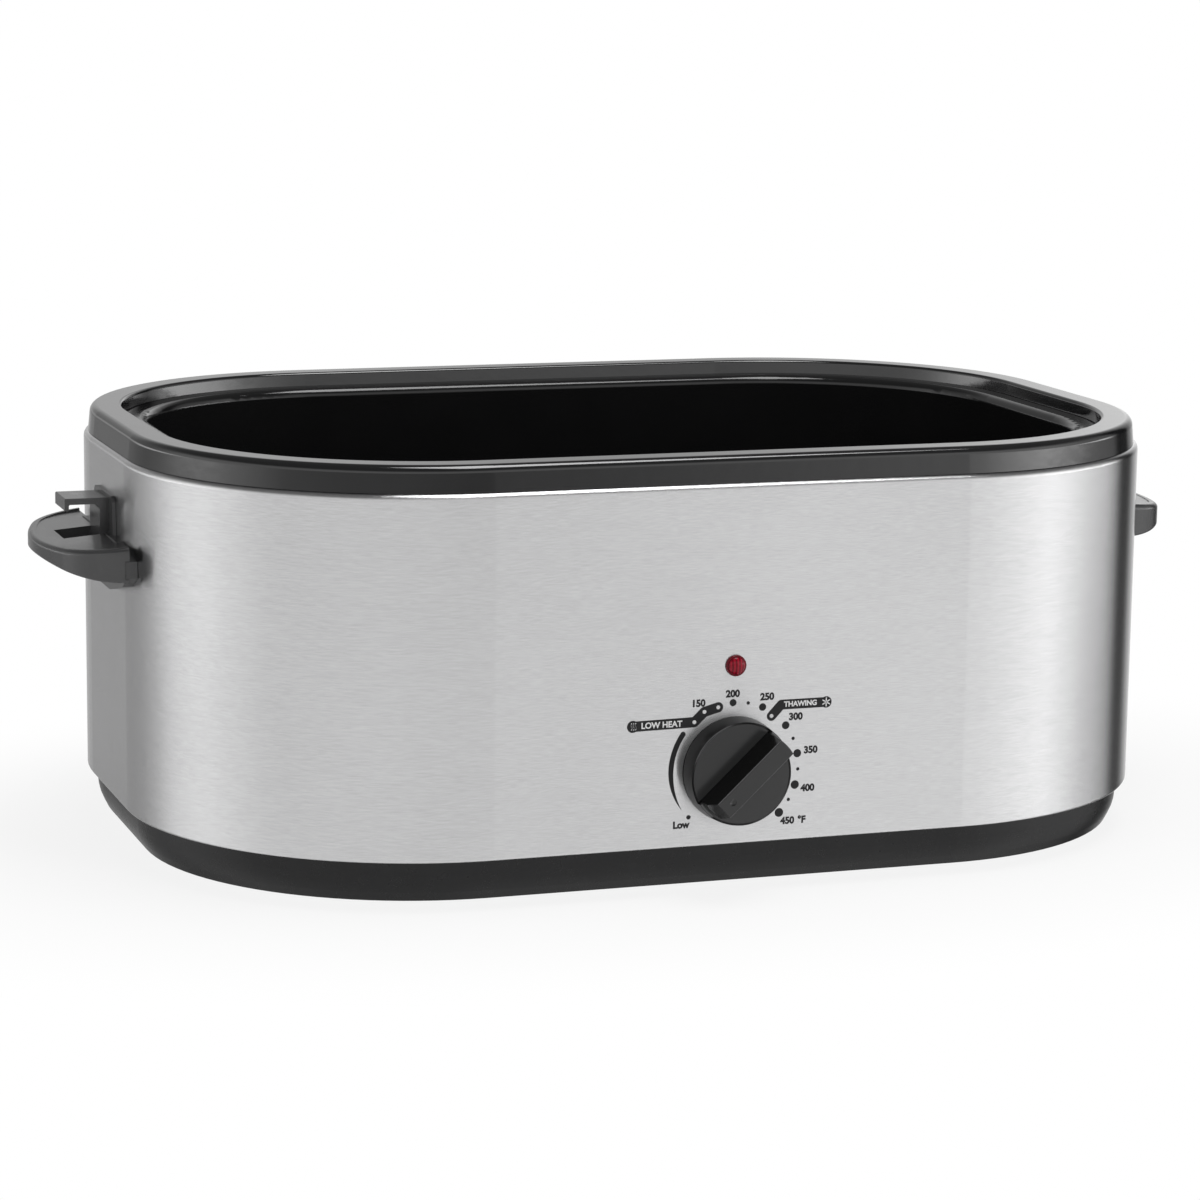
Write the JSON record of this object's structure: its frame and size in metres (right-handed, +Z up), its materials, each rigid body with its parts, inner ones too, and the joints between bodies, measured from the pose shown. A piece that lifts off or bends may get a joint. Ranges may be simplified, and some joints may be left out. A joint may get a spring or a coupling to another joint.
{
  "type": "electric roaster oven",
  "caption": "Countertop electric roaster oven: lift-out enamelled roasting pan in a heated well, brushed steel shell, thermostat knob, lamp, base and side handles with lid hooks.",
  "frame": {"origin": "on the table that the oven's feet stand on, under the middle of its bounding box", "axes": "+X to the right along the front, +Y from the front to the back, +Z up"},
  "size_m": [0.5994, 0.4008, 0.211],
  "materials": {
    "shell_steel": "stainless steel sheet, brushed round the body",
    "rim_enamel": "gloss black enamel on steel",
    "pan_enamel": "gloss black enamel on steel",
    "base_plastic": "satin black moulding",
    "plate_steel": "zinc-plated sheet",
    "fastener_steel": "bright zinc plate",
    "insulation": "glass wool",
    "heater_steel": "heat-tinted steel",
    "bead_ceramic": "unglazed",
    "knob_plastic": "satin charcoal moulding",
    "thermostat_plastic": "phenolic moulding",
    "brass_terminals": "plain",
    "copper_tube": "drawn copper",
    "lens_red": "clear dark red, domed",
    "lamp_glass": "clear",
    "wire_sleeve": "braided high-temperature sleeve",
    "gland_plastic": "black nylon",
    "foot_rubber": "matt black",
    "handle_plastic": "satin charcoal moulding"
  },
  "bodies": {
    "base": {"outer_shell": "shell_steel", "cooking_well": "rim_enamel", "base_skirt": "base_plastic", "bottom_plate": "plate_steel", "bottom_plate_screws": "fastener_steel", "well_studs": "fastener_steel", "stud_nuts": "fastener_steel", "lower_spacers": "fastener_steel", "upper_spacers": "fastener_steel", "heat_shield": "plate_steel", "floor_blanket": "insulation", "wall_blanket": "insulation", "heater_band": "heater_steel", "band_clamp": "fastener_steel", "heater_posts": "fastener_steel", "heater_beads": "bead_ceramic", "thermostat_body": "thermostat_plastic", "thermostat_bracket": "fastener_steel", "thermostat_screws": "fastener_steel", "thermostat_blades": "brass_terminals", "sensing_bulb": "copper_tube", "bulb_clip": "fastener_steel", "capillary_tube": "copper_tube", "indicator_lens": "lens_red", "lamp_retainer": "fastener_steel", "neon_lamp": "lamp_glass", "lamp_wires": "wire_sleeve", "cord_gland": "gland_plastic", "terminal_block": "bead_ceramic", "block_screw": "fastener_steel", "live_wire": "wire_sleeve", "neutral_wire": "wire_sleeve", "load_wire": "wire_sleeve", "thermal_fuse": "wire_sleeve", "fuse_clip": "fastener_steel", "foot_front_left": "foot_rubber", "foot_rear_left": "foot_rubber", "foot_front_right": "foot_rubber", "foot_rear_right": "foot_rubber", "left_handle": "handle_plastic", "right_handle": "handle_plastic", "left_backing_strip": "plate_steel", "right_backing_strip": "plate_steel", "left_handle_screws": "fastener_steel", "right_handle_screws": "fastener_steel"},
    "knob": {"control_knob": "knob_plastic", "knob_clip": "fastener_steel", "thermostat_shaft": "fastener_steel"},
    "pan": {"roasting_pan": "pan_enamel"}
  },
  "joints": [
    {"name": "knob_turn", "type": "hinge", "parent": "base", "child": "knob", "pos_m": [0, -0.17375, 0.0609], "axis": [0, 1, 0], "range_deg": [0, 268]},
    {"name": "pan_lift", "type": "slide", "parent": "base", "child": "pan", "axis": [0, 0, 1], "range_m": [0, 0.18]}
  ]
}
